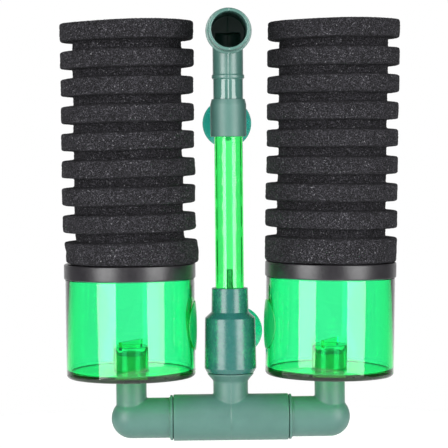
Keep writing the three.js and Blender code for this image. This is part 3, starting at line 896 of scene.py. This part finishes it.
def build_arm(name, side, fitting, clear, black, foam):
    """One side of the filter, with the canister's pad towards the column."""
    bead_start = ARM_X - TEE_HALF - GAP - BEAD_WIDTH
    corner = Matrix.Translation((side * ARM_X, 0, TEE_RADIUS))
    place = corner if side < 0 else corner @ Matrix.Rotation(math.pi, 4, "Z")
    elbow = elbow_solid(bead_start, ARM_X - ARM_END_X, ARM_LEG_LENGTH)
    finish_piece(elbow, f"{name}_bend", place, fitting, f"{name}_arm", "fittings", f"{name}_elbow")

    stack = stack_place(name, side)
    turn = math.pi + PAD_TURN[name] if side > 0 else -PAD_TURN[name]
    turned = stack @ Matrix.Rotation(turn, 4, "Z")
    canister = canister_solid()
    special = special_faces(canister)
    finish_piece(canister, f"{name}_media_canister", turned, clear[0], f"{name}_canister", "clear_green",
                 f"{name}_canister")
    for material in clear[1:]:
        canister.data.materials.append(material)
    for index, slot in special.items():
        canister.data.polygons[index].material_index = slot

    finish_piece(lid_solid(), f"{name}_canister_lid", stack, black, f"{name}_lid", "black_plastic",
                 f"{name}_lid")
    finish_piece(strainer_solid(), f"{name}_strainer_tube", stack, black, f"{name}_lid", "black_plastic",
                 f"{name}_strainer")
    sponge = sponge_solid(**SPONGES[name])
    finish_piece(sponge, f"{name}_foam_sponge", stack, foam, f"{name}_sponge", "foam", f"{name}_sponge")


def build_filter():
    fitting = moulded_plastic("fitting_plastic", FITTING_COLORS, 0.45)
    clear = (
        clear_plastic("canister_plastic", CANISTER_DEPTH, 0.02),
        clear_plastic("pad_plastic", CANISTER_DEPTH, 0.30, PAD_COLOR, 0.3),
        # the foot band's dark skin colour is painted shade
        clear_plastic("foot_painted_shade", CANISTER_DEPTH, 0.25, FOOT_SHADE_COLOR),
    )
    black = black_plastic("lid_plastic")
    foam = foam_material("foam")
    build_column(fitting)
    build_arm("left", -1, fitting, clear, black, foam)
    build_arm("right", 1, fitting, clear, black, foam)


# ---- floor, light and camera ----

def add_floor():
    """A round white table top, low enough for the stacks to swing down over it from the hung column."""
    radius, drop = 0.34, 0.027
    mesh = bpy.data.meshes.new("floor")
    bm = bmesh.new()
    bmesh.ops.create_circle(bm, cap_ends=True, segments=128, radius=radius)
    bm.to_mesh(mesh)
    bm.free()
    floor = new_object("floor", mesh)
    floor.location = (0, COLUMN.y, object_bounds()[0][2] - drop)
    mesh.materials.append(floor_material("floor_white"))


def add_softbox(name, azimuth, power):
    """A tall soft light at an azimuth seen from the column, 0 being straight towards the camera."""
    distance, width, height, center_z = 1.0, 0.62, 1.3, 0.25
    data = bpy.data.lights.new(name, "AREA")
    data.shape = "RECTANGLE"
    data.size = width
    data.size_y = height
    data.energy = power
    light = bpy.data.objects.new(name, data)
    bpy.context.scene.collection.objects.link(light)
    a = math.radians(azimuth)
    place = COLUMN + Vector((math.sin(a) * distance, -math.cos(a) * distance, center_z))
    light.location = place
    target = COLUMN + Vector((0, 0, 0.12))
    light.rotation_euler = (target - place).to_track_quat("-Z", "Y").to_euler()


def add_world():
    """A white studio with a darker ceiling, and a front that reflections see as a dim room."""
    world = bpy.data.worlds.new("studio")
    bpy.context.scene.world = world
    world.use_nodes = True
    tree = world.node_tree

    def math_node(operation, first, second):
        node = tree.nodes.new("ShaderNodeMath")
        node.operation = operation
        for socket, value in zip(node.inputs, (first, second)):
            if isinstance(value, (int, float)):
                socket.default_value = value
            else:
                tree.links.new(value, socket)
        return node.outputs[0]

    def share(value, low, high):
        node = tree.nodes.new("ShaderNodeMapRange")
        node.inputs["From Min"].default_value = low
        node.inputs["From Max"].default_value = high
        tree.links.new(value, node.inputs["Value"])
        return node.outputs["Result"]

    direction = tree.nodes.new("ShaderNodeTexCoord")
    split = tree.nodes.new("ShaderNodeSeparateXYZ")
    tree.links.new(direction.outputs["Generated"], split.inputs[0])
    ceiling = share(split.outputs["Z"], 0.25, 0.75)
    front = share(split.outputs["Y"], 0.90, 0.5)

    path = tree.nodes.new("ShaderNodeLightPath")
    camera, glossy = path.outputs["Is Camera Ray"], path.outputs["Is Glossy Ray"]
    mirrored = math_node("MAXIMUM", math_node("SUBTRACT", glossy, path.outputs["Is Transmission Ray"]), 0)
    unseen = math_node("SUBTRACT", 1, camera)
    specular = math_node("MAXIMUM", glossy, path.outputs["Is Transmission Ray"])
    scattered = math_node("SUBTRACT", unseen, specular)
    dark_ceiling = math_node("MULTIPLY", math_node("MULTIPLY", ceiling, unseen), CEILING_DARKNESS)
    dark_front = math_node("MULTIPLY", math_node("MULTIPLY", front, mirrored), FRONT_DARKNESS)
    darker = math_node("ADD", dark_ceiling, dark_front)
    darker = math_node("ADD", darker, math_node("MULTIPLY", scattered, DIFFUSE_DARKNESS))
    strength = math_node("MAXIMUM", math_node("SUBTRACT", 1, darker), LEAST_BRIGHTNESS)
    background = tree.nodes["Background"]
    background.inputs["Color"].default_value = (1, 1, 1, 1)
    tree.links.new(strength, background.inputs["Strength"])


def add_camera():
    distance, eye_height = 1.12, 0.1715
    yaw, pitch, roll = math.radians(1.3), math.radians(2.386), math.radians(-0.5)
    sideways = math.radians(0.154)
    data = bpy.data.cameras.new("camera")
    data.lens = 156.7
    data.sensor_width = 36
    camera = bpy.data.objects.new("camera", data)
    bpy.context.scene.collection.objects.link(camera)
    place = COLUMN + Vector((-math.sin(yaw) * distance, -math.cos(yaw) * distance, eye_height))
    heading = Matrix.Rotation(sideways - yaw, 4, "Z")
    tilt = Matrix.Rotation(math.pi / 2 - pitch, 4, "X")
    camera.matrix_world = Matrix.Translation(place) @ heading @ tilt @ Matrix.Rotation(roll, 4, "Z")
    bpy.context.scene.camera = camera


build_filter()
add_floor()
add_world()
for softbox, (azimuth, power) in SOFTBOXES.items():
    add_softbox(softbox, azimuth, power)
add_camera()
bpy.context.scene.view_settings.view_transform = "Standard"
